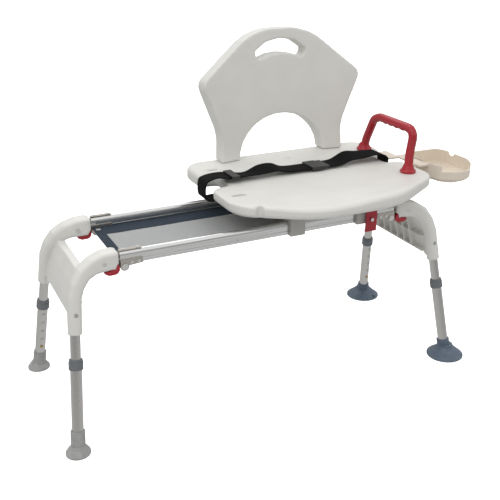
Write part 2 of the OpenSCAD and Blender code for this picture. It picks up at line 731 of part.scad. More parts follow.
// A round screw head of the given height on a shank that ends at the given length
module screw(length, head = 2) {
    cylinder(r = screw_r, h = length);
    translate([0, 0, -head]) cylinder(r = screw_r + 2, h = head + 0.01);
}

module seat_fasteners() {
    place() color("silver") {
        for (x = slider_x, s = [-1, 1]) {
            translate([x, s * screw_y, slider_top]) screw(rim_bottom + 12 - slider_top);
            translate([x, s * rail_y, bar_z]) mirror([0, 0, 1]) screw(bar_z - rail_z - rail_r - 4);
        }
        for (p = handle_feet)
            translate([handle_x, p, foot_bore]) screw(seat_z - dish + 11 - foot_bore);
        translate([lug_x, lug_y, rim_bottom - 4]) screw(17);
        translate([lock_x - lever_w / 2 - 6, -lever_y, lever_z]) rotate([0, 90, 0]) {
            cylinder(r = lever_pin_r, h = lever_w + 12);
            for (z = [0, lever_w + 10.8]) translate([0, 0, z]) cylinder(r = lever_pin_r + 1.2, h = 1.2);
        }
    }
}

module lever_spring() {
    corner(1, -1) color("silver") translate([lock_x - 4.5, lever_y, lever_z]) rotate([0, 90, 0])
        difference() {
        cylinder(r = lever_pin_r + 1.6, h = 9);
        translate([0, 0, -1]) cylinder(r = lever_pin_r + 0.4, h = 11);
    }
}

module seat_lock_lever() {
    corner(1, -1) color(red) difference() {
        union() {
            yz_bar(lock_x - lever_w / 2, lock_x + lever_w / 2) {
                translate([lever_y, lever_z]) circle(r = 4.5);
                translate([lever_y + 1, lever_z - lever_drop + 6]) square([lever_t, lever_drop]);
            }
            block([lock_x - lever_w / 2, lever_y - 1.5, lever_z - lever_drop + 2],
                [lock_x + lever_w / 2, lever_y + 1 + lever_t, lever_z - lever_drop + 8]);
        }
        translate([lock_x - 40, lever_y, lever_z]) rotate([0, 90, 0])
            cylinder(r = lever_pin_r + run, h = 80);
        block([lock_x - 5, lever_y - 10, lever_z - 5], [lock_x + 5, lever_y + 10, lever_z + 5]);
        for (d = [-1, 1]) y_cyl(lock_r + 0.4, lock_x, lock_z + d, lever_y - 5, lever_y + 10);
        block([lock_x - lock_r - 0.4, lever_y - 5, lock_z - 1],
            [lock_x + lock_r + 0.4, lever_y + 10, lock_z + 1]);
    }
}

module seat_lock_pin() {
    head = lever_y + lever_t + 2;
    corner(1, -1) color("silver") {
        y_cyl(lock_r, lock_x, lock_z, rail_y + rail_r + pin_gap, head + 1);
        y_cyl(4.5, lock_x, lock_z, head, head + 3);
    }
}

// Skin of rings along a line that lies in one plane across x, with a radius at each point
module tube_along(pts, radii, sides = 24) {
    n = len(pts);
    rings = [for (i = [0:n - 1])
        let(d = side_dir([for (p = pts) [p[1], p[2]]], i))
        each [for (k = [0:sides - 1])
            let(a = 360 * k / sides)
            [pts[i][0] + radii[i] * cos(a), pts[i][1] + radii[i] * sin(a) * d[0],
                pts[i][2] + radii[i] * sin(a) * d[1]]]];
    sides_faces = [for (i = [0:n - 2], k = [0:sides - 1])
        let(a = i * sides + k, b = i * sides + (k + 1) % sides)
        each [[a, b, b + sides], [a, b + sides, a + sides]]];
    polyhedron(rings, concat([[for (k = [sides - 1:-1:0]) k],
        [for (k = [0:sides - 1]) (n - 1) * sides + k]], sides_faces));
}

// A line through rounded corners, each given as y, z and radius, ends kept sharp
function soft_line(pts, n) = let(k = len(pts) - 1)
    concat([[pts[0][0], pts[0][1]]],
        [for (i = [1:k - 1])
            each round_corner([pts[i - 1][0], pts[i - 1][1]], [pts[i][0], pts[i][1]],
                [pts[i + 1][0], pts[i + 1][1]], pts[i][2], n)],
        [[pts[k][0], pts[k][1]]]);

module grab_handle() {
    a = handle_feet[0];
    b = handle_feet[1];
    z = seat_z + handle_h;
    line = soft_line([[b, foot_z[1] + 3, 0], [b - 8, seat_z + 32, 30], [b - 40, z - 10, 26],
        [b - 66, z, 40],
        [a - 13, z, 20], [a - 2, seat_z + 42, 30], [a, foot_z[0] + 3, 0]], 4);
    place() color(red) difference() {
        union() {
            tube_along([for (p = line) [handle_x, p[0], p[1]]], [for (p = line) handle_d / 2]);
            for (i = [0, 1]) translate([handle_x, handle_feet[i], foot_z[i]]) {
                cylinder(r = 20, h = 6);
                translate([0, 0, 6]) cylinder(r1 = 17, r2 = handle_d / 2 + 1, h = 13);
            }
        }
        for (i = [0, 1])
            translate([handle_x, handle_feet[i], foot_z[i] - 1]) cylinder(r = screw_r + fit, h = 14);
    }
}

// The tray's outline, pulled in by a margin
function tray_outline(m) =
    let(l = holder_x + m, r = holder_right - m)
    rounded([[l, -60 + m, 16 - m], [l + 8, -96 + m, 26 - m], [r - 66, -120 + m, 30 - m],
        [r - 20, -116 + m, 34 - m],
        [r, -70, 30 - m], [r, 20, 40 - m], [r - 14, 45 - m, 16 - m], [l + 6, 47 - m, 10 - m]], 5);

module soap_holder() {
    low = seat_z - holder_h - 2;
    edge_x = seat_x + seat_half + 2;
    layers = [[0, 5, 10], [4, 11, 4], [9, holder_h + 2, 0]];
    place() color(beige) difference() {
        union() {
            for (l = layers) translate([0, 0, low + l[0]]) linear_extrude(l[1] - l[0])
                polygon(tray_outline(l[2]));
            block([edge_x, lug_y - 40, seat_z - 8], [holder_x + 4, 44, seat_z - 3]);
            block([notch_x + 22, tab_y - 32, seat_z - 8], [edge_x + 3, tab_y + 30, seat_z - 3]);
            block([edge_x, lug_y - 24, rim_bottom - 4], [edge_x + 4, lug_y + 24, seat_z - 4]);
            block([lug_x - 9, lug_y - 24, rim_bottom - 4], [edge_x + 4, lug_y + 24, rim_bottom]);
        }
        translate([0, 0, low + holder_wall]) linear_extrude(4) polygon(tray_outline(holder_wall + 10));
        translate([0, 0, low + 6]) linear_extrude(5) polygon(tray_outline(holder_wall + 4));
        translate([0, 0, low + 10]) linear_extrude(holder_h + 10) polygon(tray_outline(holder_wall));
        block([holder_x + 14, -125, seat_z - 15], [holder_right - 22, -84, seat_z + 5]);
        block([holder_x - 1, -50, seat_z - 12], [holder_x + holder_wall + 1, 20, seat_z + 5]);
        translate([holder_right - 12, -8, seat_z + 3]) rotate([0, 90, 0]) cylinder(r = 12, h = 20);
        translate([lug_x, lug_y, rim_bottom - 6]) cylinder(r = screw_r + fit, h = 8);
    }
}

// A strap along points given in x and z
module strap(pts) {
    place() color(black) xz_plate(belt_y - belt_w / 2, belt_y + belt_w / 2) polygon(strip(pts, belt_t));
}

module belt_left() {
    z = rim_bottom - 6;
    x = seat_x - seat_half;
    strap(soft_line([[x + 30, z, 0], [x - 3, z, 8], [x - 10, seat_z - 8, 14], [x - 3, seat_z + 9, 12],
        [x + 24, seat_z + 13, 24], [x + 56, seat_z + 8, 20], [x + 84, seat_z + 6, 40],
            [x + 136, belt_z, 60],
        [buckle_x - 26, belt_z + 2, 0]], 4));
}

module belt_right() {
    strap(soft_line([[buckle_x + 26, belt_z + 2, 0], [buckle_x + 60, belt_z + 4, 60],
        [buckle_x + 120, seat_z + 16, 60],
        [notch_x - 14, seat_z + 16, 16], [notch_x + 14, seat_z + 3, 12],
            [notch_x + 13, seat_z - 18, 0]], 4));
}

module belt_hardware() {
    x = seat_x - seat_half + 62;
    half = belt_w / 2 + 1;
    glide = seat_z + 7.6;
    place() color([0.12, 0.12, 0.13]) {
        difference() {
            block([buckle_x - 25, belt_y - half - 2, belt_z - 2],
                [buckle_x + 8, belt_y + half + 2, belt_z + 7]);
            block([buckle_x - 6, belt_y - half + 6, belt_z],
                [buckle_x + 9, belt_y + half - 6, belt_z + 5]);
        }
        block([buckle_x + 8.2, belt_y - half, belt_z - 1], [buckle_x + 25, belt_y + half, belt_z + 6]);
        block([buckle_x - 5.5, belt_y - half + 6.5, belt_z + 0.4],
            [buckle_x + 8.3, belt_y + half - 6.5, belt_z + 4.6]);
        difference() {
            block([x - 2, belt_y - half - 2.5, glide - 5.2], [x + 18, belt_y + half + 2.5, glide + 4]);
            block([x - 3, belt_y - half, glide - 3.6], [x + 19, belt_y + half, glide + 2.4]);
        }
    }
}

// ---- Backrest ----

module back_outline() {
    kx = back_half / 219;
    kz = back_h / 326;
    difference() {
        polygon(rounded(both_halves([[foot_out, -10, 1], [foot_out - 4, 70 * kz, 120],
            [228 * kx, 204 * kz, 26], [76 * kx, back_h, 160]]), 8));
        polygon(concat([[arch_half, -20]], [for (t = [0:9:180]) [arch_half * cos(t), arch_h * sin(t)]],
            [[-arch_half, -20]]));
        polygon(rounded([for (q = slot_line) [q[0] * slot_half, back_h + q[1], q[2]]], 5));
    }
}
slot_line = [[-1, -56, 9], [-0.55, -33, 40], [0, -25, 60], [0.55, -33, 40], [1, -56, 9], [0.84, -76, 9],
    [0.4, -64, 30], [0, -61, 40], [-0.4, -64, 30], [-0.84, -76, 9]];

module backrest_shell() {
    place() translate([seat_x, 0, 0]) color(white) difference() {
        intersection() {
            translate([0, back_front, seat_z]) rotate([-back_lean, 0, 0]) difference() {
                xz_plate(-60, back_t) back_outline();
                translate([0, -back_curve, -40]) cylinder(r = back_curve, h = back_h + 80, $fn = 240);
                difference() {
                    translate([0, -back_curve, -40])
                        cylinder(r = back_curve + 200, h = back_h + 80, $fn = 240);
                    translate([0, -back_curve, -41])
                        cylinder(r = back_curve + back_t, h = back_h + 82, $fn = 240);
                }
            }
            block([-300, 0, seat_z + 0.02], [300, 400, seat_z + back_h + 50]);
        }
        for (s = [-1, 1])
            translate([s * peg_x, peg_y, seat_z - 1]) cylinder(r = peg_r + fit, h = peg_up + 1);
    }
}

module backrest_pegs() {
    place() color("silver") for (s = [-1, 1])
        translate([seat_x + s * peg_x, peg_y, seat_z - peg_depth + 1])
            cylinder(r = peg_r, h = peg_depth + peg_up - 1);
}

corner(1, -1) rail(true);  // rail_front
corner(1, 1) rail(false);  // rail_back
rail_plugs();
corner(-1, -1) hinge_bracket();  // hinge_bracket_fl
corner(-1, 1) hinge_bracket();  // hinge_bracket_bl
corner(1, -1) hinge_bracket();  // hinge_bracket_fr
corner(1, 1) hinge_bracket();  // hinge_bracket_br
bracket_rivets();
pivot_rod(-1);  // pivot_rod_left
pivot_rod(1);  // pivot_rod_right
mesh_panel();
panel_binding();
panel_snaps();
end_frame(-1);  // end_frame_left
end_frame(1);  // end_frame_right
hinge_tongues(-1);  // hinge_tongues_left
hinge_tongues(1);  // hinge_tongues_right
upper_leg(-1, -1);  // upper_leg_fl
upper_leg(-1, 1);  // upper_leg_bl
upper_leg(1, -1);  // upper_leg_fr
upper_leg(1, 1);  // upper_leg_br
frame_fasteners(-1);  // frame_fasteners_left
frame_fasteners(1);  // frame_fasteners_right
snap_button(-1, -1);  // snap_button_fl
snap_button(-1, 1);  // snap_button_bl
snap_button(1, -1);  // snap_button_fr
snap_button(1, 1);  // snap_button_br
fold_latch(-1, -1);  // fold_latch_fl
fold_latch(-1, 1);  // fold_latch_bl
fold_latch(1, -1);  // fold_latch_fr
fold_latch(1, 1);  // fold_latch_br
lower_leg(-1, -1);  // lower_leg_fl
lower_leg(-1, 1);  // lower_leg_bl
lower_leg(1, -1);  // lower_leg_fr
lower_leg(1, 1);  // lower_leg_br
collar(-1, -1);  // collar_fl
collar(-1, 1);  // collar_bl
collar(1, -1);  // collar_fr
collar(1, 1);  // collar_br
rubber_tip(-1);  // rubber_tip_fl
rubber_tip(1);  // rubber_tip_bl
suction_cup(-1);  // suction_cup_fr
suction_cup(1);  // suction_cup_br
seat_shell();
corner(1, -1) slider(slider_x[0]);  // slider_front_left
corner(1, -1) slider(slider_x[1], true);  // slider_front_right
corner(1, 1) for (x = slider_x) slider(x);  // sliders_back
cross_bars();
seat_fasteners();
lever_spring();
seat_lock_lever();
seat_lock_pin();
grab_handle();
soap_holder();
belt_left();
belt_right();
belt_hardware();
backrest_shell();
backrest_pegs();
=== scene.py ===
"""Bath transfer bench: the visual model that is built round the CAD frame."""

import json
import logging
import math
from dataclasses import dataclass
from enum import Enum
from typing import Any, Callable

import bmesh
import bpy
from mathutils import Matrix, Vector


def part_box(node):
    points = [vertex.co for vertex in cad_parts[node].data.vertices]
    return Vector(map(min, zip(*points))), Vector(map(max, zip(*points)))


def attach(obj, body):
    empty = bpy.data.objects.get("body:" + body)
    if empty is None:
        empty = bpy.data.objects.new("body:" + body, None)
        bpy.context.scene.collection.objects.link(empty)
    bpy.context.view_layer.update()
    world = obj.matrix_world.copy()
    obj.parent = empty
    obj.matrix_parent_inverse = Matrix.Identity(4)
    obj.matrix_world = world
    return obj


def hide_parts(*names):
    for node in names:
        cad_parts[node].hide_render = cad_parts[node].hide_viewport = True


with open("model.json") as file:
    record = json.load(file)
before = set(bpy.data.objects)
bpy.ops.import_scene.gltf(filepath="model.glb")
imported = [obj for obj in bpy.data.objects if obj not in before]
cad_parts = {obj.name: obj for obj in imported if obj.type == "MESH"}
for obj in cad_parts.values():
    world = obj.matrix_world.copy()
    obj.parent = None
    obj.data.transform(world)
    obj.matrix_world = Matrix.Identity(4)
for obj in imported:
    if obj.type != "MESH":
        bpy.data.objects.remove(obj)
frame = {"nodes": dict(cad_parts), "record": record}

Material = bpy.types.Material
Node = bpy.types.Node
Socket = bpy.types.NodeSocket
Tree = bpy.types.NodeTree

log = logging.getLogger("bench")
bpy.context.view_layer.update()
MM = 0.001
WAVE_UNIT = 2 * math.pi / 20
"""A wave texture of scale one repeats every so many units."""


# ---- Small tools ----


def mm_scale(size_mm: float) -> float:
    """Texture scale that gives features of a real size.

    Args:
        size_mm: size of one feature, in millimetres.

    Returns:
        The scale for a texture that reads metres.
    """
    return 1000.0 / size_mm


def linear(code: str) -> tuple[float, float, float, float]:
    """Turn an sRGB hex code into a linear colour.

    Args:
        code: six hex digits with a leading #.

    Returns:
        Linear red, green, blue and an alpha of one.
    """
    parts = [int(code[i : i + 2], 16) / 255 for i in (1, 3, 5)]
    low = [c / 12.92 if c <= 0.04045 else ((c + 0.055) / 1.055) ** 2.4 for c in parts]
    return (low[0], low[1], low[2], 1.0)


def add_node(
    tree: Tree,
    kind: str,
    settings: dict[str, Any] | None = None,
    sockets: dict[str, Any] | None = None,
) -> Node:
    """Add one shader node with its settings and its links.

    Args:
        tree: node tree that takes the node.
        kind: the node's type name, without the ShaderNode prefix.
        settings: attributes to set on the node.
        sockets: input values by name, where an output socket makes a link.

    Returns:
        The new node.
    """
    node = tree.nodes.new("ShaderNode" + kind)
    for key, value in (settings or {}).items():
        setattr(node, key, value)
    for key, value in (sockets or {}).items():
        socket = node.inputs[int(key)] if key.isdigit() else node.inputs[key]
        if isinstance(value, bpy.types.NodeSocket):
            tree.links.new(value, socket)
        else:
            socket.default_value = value
    return node


def ramp(node: Node, stops: list[tuple[float, tuple[float, ...]]]) -> Node:
    """Set the stops of a colour ramp.

    Args:
        node: the ramp node.
        stops: position and colour of each stop, in order.

    Returns:
        The same node.
    """
    elements = node.color_ramp.elements
    while len(elements) < len(stops):
        elements.new(0.5)
    for element, (place, colour) in zip(elements, stops):
        element.position = place
        element.color = colour
    return node


def grey(value: float) -> tuple[float, float, float, float]:
    """Return a grey of one level, as a colour."""
    return (value, value, value, 1.0)


def new_piece(name: str, mesh: bpy.types.Mesh) -> bpy.types.Object:
    """Link a mesh into the scene as a named object.

    Args:
        name: the piece's name.
        mesh: its mesh.

    Returns:
        The new object.
    """
    piece = bpy.data.objects.new(name, mesh)
    bpy.context.scene.collection.objects.link(piece)
    return piece


def bake_modifiers(piece: bpy.types.Object) -> None:
    """Apply a piece's modifiers to its mesh.

    Args:
        piece: object whose modifiers are used up.
    """
    graph = bpy.context.evaluated_depsgraph_get()
    mesh = bpy.data.meshes.new_from_object(piece.evaluated_get(graph))
    piece.modifiers.clear()
    piece.data = mesh


def smooth(piece: bpy.types.Object, angle: float = 40.0) -> None:
    """Shade a piece smooth, with edges over an angle kept crisp.

    Args:
        piece: object to shade.
        angle: largest smooth angle between faces, in degrees.
    """
    piece.data.shade_smooth()
    piece.data.set_sharp_from_angle(angle=math.radians(angle))


def dress(piece: bpy.types.Object, material: Material) -> None:
    """Give a piece one material all over.

    Args:
        piece: object to dress.
        material: its only material.
    """
    piece.data.materials.clear()
    piece.data.materials.append(material)


# ---- Finishes ----


class Lay(Enum):
    """Direction that a drawn or brushed metal's lines run in."""

    ALONG_X = (0.012, 1.0, 1.0)
    ALONG_Z = (1.0, 1.0, 0.012)


@dataclass(frozen=True)
class Finish:
    """A surface: its common name, its colour and how rough it is."""

    name: str
    slot: str
    colour: str
    roughness: float

    def start(self) -> tuple[Material, Tree, Node, Socket]:
        """Make an empty material with a shader, an output and coordinates.

        Returns:
            The material, its tree, its shader and the object coordinates.
        """
        material = bpy.data.materials.new(self.name)
        material.use_nodes = True
        tree = material.node_tree
        tree.nodes.clear()
        shader = add_node(tree, "BsdfPrincipled", None, {"Roughness": self.roughness})
        add_node(tree, "OutputMaterial", None, {"Surface": shader.outputs[0]})
        place = add_node(tree, "TexCoord").outputs["Object"]
        return material, tree, shader, place

    def noise(self, tree: Tree, place: Socket, size_mm: float, detail: float) -> Socket:
        """Add a cloudy pattern.

        Args:
            tree: the material's tree.
            place: coordinates in metres.
            size_mm: size of one cloud, in millimetres.
            detail: how many finer layers it has.

        Returns:
            The pattern, from 0 to 1.
        """
        sockets = {"Vector": place, "Scale": mm_scale(size_mm), "Detail": detail}
        return add_node(tree, "TexNoise", None, sockets).outputs["Fac"]

    def cells(self, tree: Tree, place: Socket, size_mm: float) -> Socket:
        """Add a pattern of rounded cells.

        Args:
            tree: the material's tree.
            place: coordinates in metres.
            size_mm: size of one cell, in millimetres.

        Returns:
            The distance to each cell's middle.
        """
        sockets = {"Vector": place, "Scale": mm_scale(size_mm)}
        return add_node(tree, "TexVoronoi", None, sockets).outputs["Distance"]

    def tint(self, tree: Tree, shader: Node, source: Socket, dark: float, light: float) -> None:
        """Vary the colour between a darker and a lighter shade of itself.

        Args:
            tree: the material's tree.
            shader: shader that takes the colour.
            source: socket from 0 to 1 that picks the shade.
            dark: factor on the colour at 0.
            light: factor on the colour at 1.
        """
        base = linear(self.colour)
        low = tuple(min(1.0, c * dark) for c in base[:3]) + (1.0,)
        high = tuple(min(1.0, c * light) for c in base[:3]) + (1.0,)
        shades = ramp(add_node(tree, "ValToRGB", None, {"Fac": source}), [(0.3, low), (0.7, high)])
        tree.links.new(shades.outputs[0], shader.inputs["Base Color"])

    def scuff(self, tree: Tree, shader: Node, source: Socket, less: float, more: float) -> None:
        """Vary the roughness round its own value.

        Args:
            tree: the material's tree.
            shader: shader that takes the roughness.
            source: socket from 0 to 1 that picks the roughness.
            less: how much smoother it is at 0.
            more: how much rougher it is at 1.
        """
        span = {"To Min": self.roughness - less, "To Max": self.roughness + more}
        rough = add_node(tree, "MapRange", None, {"Value": source, **span})
        tree.links.new(rough.outputs[0], shader.inputs["Roughness"])

    def bump(self, tree: Tree, shader: Node, height: Socket, depth_mm: float) -> None:
        """Raise the surface by a height map.

        Args:
            tree: the material's tree.
            shader: shader that takes the normal.
            height: socket with the height, from 0 to 1.
            depth_mm: real height of the relief, in millimetres.
        """
        sockets = {"Height": height, "Distance": depth_mm * MM, "Strength": 1.0}
        relief = add_node(tree, "Bump", None, sockets)
        tree.links.new(relief.outputs[0], shader.inputs["Normal"])


@dataclass(frozen=True)
class MouldedPlastic(Finish):
    """Moulded plastic: a faint pebble grain from the tool and slow cloudy shades from cooling."""

    grain_mm: float = 1.6
    grain_depth_mm: float = 0.03
    glow: float = 0.0
    cloud: float = 0.025

    def build(self) -> Material:
        """Make the material.

        Returns:
            The finished material.
        """
        material, tree, shader, place = self.start()
        self.tint(tree, shader, self.noise(tree, place, 70, 3.0), 1 - self.cloud, 1 + self.cloud)
        self.scuff(tree, shader, self.noise(tree, place, 12, 6.0), 0.05, 0.08)
        self.bump(tree, shader, self.cells(tree, place, self.grain_mm), self.grain_depth_mm)
        if self.glow > 0:
            shader.inputs["Subsurface Weight"].default_value = self.glow
            shader.inputs["Subsurface Radius"].default_value = (1.0, 0.9, 0.8)
            shader.inputs["Subsurface Scale"].default_value = 4 * MM
        return material


@dataclass(frozen=True)
class DrawnMetal(Finish):
    """Drawn or extruded metal under an anodised skin: long fine lines along the draw."""

    lay: Lay = Lay.ALONG_X
    line_mm: float = 1.2
    streak: float = 0.12

    def build(self) -> Material:
        """Make the material.

        Returns:
            The finished material.
        """
        material, tree, shader, place = self.start()
        shader.inputs["Metallic"].default_value = 1.0
        stretched = add_node(tree, "Mapping", None, {"Vector": place, "Scale": self.lay.value})
        lines = self.noise(tree, stretched.outputs[0], self.line_mm, 4.0)
        self.tint(tree, shader, lines, 1 - self.streak, 1 + self.streak)
        self.scuff(tree, shader, lines, 0.08, 0.1)
        self.bump(tree, shader, lines, 0.01)
        return material


@dataclass(frozen=True)
class PlatedSteel(Finish):
    """Pressed steel with a zinc coat: soft mottled patches where the coat cooled."""

    patch_mm: float = 5.0

    def build(self) -> Material:
        """Make the material.

        Returns:
            The finished material.
        """
        material, tree, shader, place = self.start()
        shader.inputs["Metallic"].default_value = 1.0
        spread = self.noise(tree, place, 3, 5.0)
        sockets = {"0": self.cells(tree, place, self.patch_mm), "1": 0.5, "2": spread}
        mixed = add_node(tree, "Math", {"operation": "MULTIPLY_ADD"}, sockets)
        self.tint(tree, shader, mixed.outputs[0], 0.82, 1.12)
        self.bump(tree, shader, spread, 0.03)
        return material


@dataclass(frozen=True)
class MouldedRubber(Finish):
    """Moulded rubber: matt, with a fine dusty bloom and a very small relief."""

    def build(self) -> Material:
        """Make the material.

        Returns:
            The finished material.
        """
        material, tree, shader, place = self.start()
        self.tint(tree, shader, self.noise(tree, place, 14, 7.0), 0.86, 1.14)
        self.bump(tree, shader, self.noise(tree, place, 0.9, 2.0), 0.06)
        shader.inputs["Sheen Weight"].default_value = 0.1
        return material


class Weave(Enum):
    """How a cloth is made: thread pitch across and along, and its depth, in millimetres."""

    OPEN_MESH = (2.4, 2.4, 0.25)
    BORDER_TAPE = (1.8, 1.8, 0.2)
    WEBBING = (2.2, 5.0, 0.3)


@dataclass(frozen=True)
class WovenCloth(Finish):
    """Woven cloth: rows of threads both ways, a little coarser than life so that they show."""

    weave: Weave = Weave.OPEN_MESH
    contrast: float = 0.5

    def build(self) -> Material:
        """Make the material.

        Returns:
            The finished material.
        """
        material, tree, shader, _ = self.start()
        across, along, depth = self.weave.value
        place = add_node(tree, "TexCoord").outputs["UV"]
        rows = [self.rows(tree, place, way, pitch) for way, pitch in (("X", along), ("Y", across))]
        threads = add_node(tree, "Math", {"operation": "MULTIPLY"}, {"0": rows[0], "1": rows[1]})
        sockets = {"0": self.noise(tree, place, 9, 6.0), "1": 0.4, "2": threads.outputs[0]}
        shade = add_node(tree, "Math", {"operation": "MULTIPLY_ADD"}, sockets)
        self.tint(tree, shader, shade.outputs[0], 1 - self.contrast, 1 + self.contrast * 0.5)
        self.bump(tree, shader, threads.outputs[0], depth)
        shader.inputs["Specular IOR Level"].default_value = 0.2
        return material

    def rows(self, tree: Tree, place: Socket, way: str, pitch_mm: float) -> Socket:
        """Lay threads side by side in one direction.

        Args:
            tree: the material's tree.
            place: coordinates in metres.
            way: axis that the threads are counted along, X or Y.
            pitch_mm: distance between two threads, in millimetres.

        Returns:
            The height of the threads, from 0 to 1.
        """
        settings = {"bands_direction": way, "wave_profile": "SIN"}
        scale = mm_scale(pitch_mm) * WAVE_UNIT
        sockets = {"Vector": place, "Scale": scale, "Distortion": 0.4, "Detail": 2.0}
        return add_node(tree, "TexWave", settings, sockets).outputs["Fac"]


FINISHES: tuple[Finish, ...] = (
    MouldedPlastic("blow_moulded_polyethylene", "white_plastic", "#DDDCD7", 0.44, 1.8, 0.04, 0.04),
    MouldedPlastic("red_moulded_nylon", "red_plastic", "#A81F2D", 0.34, 1.2, 0.015, 0.0, 0.05),
    MouldedPlastic("beige_polypropylene", "beige_plastic", "#E2D8C9", 0.38, 1.5, 0.015, 0.12),
    MouldedPlastic("grey_collar_nylon", "collar_plastic", "#6E7276", 0.5, 1.2, 0.03, 0.0, 0.08),
    MouldedPlastic("slider_nylon", "slider_plastic", "#B5B3AE", 0.45, 1.2, 0.03, 0.0, 0.08),
    MouldedPlastic("black_buckle_acetal", "buckle_plastic", "#2A2A2B", 0.36, 1.0, 0.03, 0.0, 0.15),
    DrawnMetal("anodised_rail_aluminium", "rail_aluminium", "#DCDCDB", 0.24, Lay.ALONG_X),
    DrawnMetal("anodised_tube_aluminium", "tube_aluminium", "#C9C8C5", 0.3, Lay.ALONG_Z, 0.9, 0.1),
    PlatedSteel("zinc_plated_bracket_steel", "hinge_steel", "#B4AFA8", 0.34),
    PlatedSteel("bright_zinc_steel", "bright_steel", "#D0D0CE", 0.26, 3.0),
    PlatedSteel("bare_spring_brass", "button_brass", "#B08F5C", 0.34, 3.0),
    MouldedRubber("grey_moulded_rubber", "grey_rubber", "#A0A19F", 0.68),
    MouldedRubber("slate_blue_rubber", "slate_rubber", "#566575", 0.5),
    WovenCloth("coated_polyester_mesh", "mesh_fabric", "#B9BBBA", 0.7, Weave.OPEN_MESH, 0.4),
    WovenCloth("navy_border_tape", "binding_fabric", "#39434F", 0.8, Weave.BORDER_TAPE, 0.35),
    WovenCloth("black_nylon_webbing", "webbing", "#070708", 0.85, Weave.WEBBING, 0.6),
)


# ---- Moulded shells ----


@dataclass
class MouldedShell:
    """A moulded shell whose edges are rounded as the tool leaves them."""

    node: str
    piece: str
    body: str
    slot: str
    voxel_mm: float
    rounds: int
    shape: Callable[[bpy.types.Mesh], None] | None = None

    def build(self) -> bpy.types.Object:
        """Round the CAD shell's edges in a new mesh that stands for it.

        Returns:
            The new piece.
        """
        mesh = frame["nodes"][self.node].data.copy()
        work = bmesh.new()
        work.from_mesh(mesh)
        bmesh.ops.remove_doubles(work, verts=work.verts, dist=0.00002)
        work.to_mesh(mesh)
        work.free()
        piece = new_piece(self.piece, mesh)
        remesh = piece.modifiers.new("even", "REMESH")
        remesh.mode = "VOXEL"
        remesh.voxel_size = self.voxel_mm * MM
        rounding = piece.modifiers.new("round", "SMOOTH")
        rounding.factor = 0.5
        rounding.iterations = self.rounds
        bake_modifiers(piece)
        if self.shape:
            self.shape(piece.data)
        piece.data.shade_smooth()
        return piece

    def dress(self, piece: bpy.types.Object, materials: dict[str, Material]) -> None:
        """Give the shell its finish and its place in the frame.

        Args:
            piece: the built shell.
            materials: material of each slot.
        """
        dress(piece, materials[self.slot])
        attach(piece, self.body)
        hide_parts(self.node)


def grip_waves(mesh: bpy.types.Mesh) -> None:
    """Press four finger hollows into the underside of the handle's bar.

    Args:
        mesh: the handle's mesh, changed in place.
    """
    low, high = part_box("grab_handle")
    bar = 22 * MM
    bar_low = high[2] - bar
    start, pitch, fingers = low[1] + 27 * MM, 25 * MM, 4
    for vertex in mesh.vertices:
        _, y, z = vertex.co
        if z < bar_low - 2 * MM or not start < y < start + fingers * pitch:
            continue
        under = max(0.0, (high[2] - bar / 2 - z) / (bar / 2))
        wave = math.sin(math.pi * (y - start) / pitch) ** 2
        vertex.co.z = z + under * (2.2 * wave - 1.2) * MM


def ease(value: float) -> float:
    """Blend smoothly from 0 to 1, and stay there outside that range."""
    t = min(1.0, max(0.0, value))
    return t * t * (3 - 2 * t)


def seat_relief(mesh: bpy.types.Mesh) -> None:
    """Lower the seat's front rim towards the outer end and press the drain groove into that corner.

    Args:
        mesh: the seat's mesh, changed in place.
    """
    low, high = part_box("seat_shell")
    middle = (low[0] + high[0]) / 2
    rim_low = high[2] - 36 * MM
    rim_drop, groove_depth, groove_half = 9 * MM, 9 * MM, 8 * MM
    groove = Vector((low[0] + 48 * MM, low[1] + 71 * MM))
    inward = Vector((0.56, 0.83))
    sideways = Vector((inward.y, -inward.x))
    for vertex in mesh.vertices:
        reach = Vector(vertex.co[:2]) - groove
        depth, side = reach.dot(inward), reach.dot(sideways)
        fade = 1 - ease((depth + 4 * MM) / (24 * MM))
        push = inward * (groove_depth * math.exp(-((side / groove_half) ** 2)) * fade)
        vertex.co.x += push.x
        vertex.co.y += push.y
        x, y, z = vertex.co
        if z < rim_low:
            continue
        forward = ease((-0.110 - y) / 0.110)
        outward = 1 - ease((x - middle + 0.060) / 0.160)
        share = ease((z - rim_low) / (high[2] - rim_low))
        vertex.co.z = z - rim_drop * forward * outward * share


SHELLS: tuple[MouldedShell, ...] = (
    MouldedShell("seat_shell", "Seat", "carriage", "white_plastic", 2.2, 14, seat_relief),
    MouldedShell("backrest_shell", "Backrest", "backrest", "white_plastic", 2.6, 12),
    MouldedShell("end_frame_left", "End_frame_left", "left_frame", "white_plastic", 1.5, 5),
    MouldedShell("end_frame_right", "End_frame_right", "right_frame", "white_plastic", 1.5, 5),
    MouldedShell("grab_handle", "Grab_handle", "carriage", "red_plastic", 1.1, 5, grip_waves),
    MouldedShell("soap_holder", "Soap_holder", "carriage", "beige_plastic", 1.0, 4),
)


# ---- Soft goods ----


def curve_through(points: list[Vector], steps: int) -> list[Vector]:
    """Draw a smooth line through points.

    Args:
        points: points that the line passes.
        steps: pieces between two neighbours.

    Returns:
        The points of the smooth line.
    """
    line: list[Vector] = []
    last = len(points) - 1
    for i in range(last):
        a, b = points[max(i - 1, 0)], points[i]
        c, d = points[i + 1], points[min(i + 2, last)]
        for k in range(steps):
            t = k / steps
            square = (2 * a - 5 * b + 4 * c - d) * t * t
            cube = (3 * b - a - 3 * c + d) * t**3
            line.append(0.5 * ((2 * b) + (c - a) * t + square + cube))
    line.append(points[-1].copy())
    return line


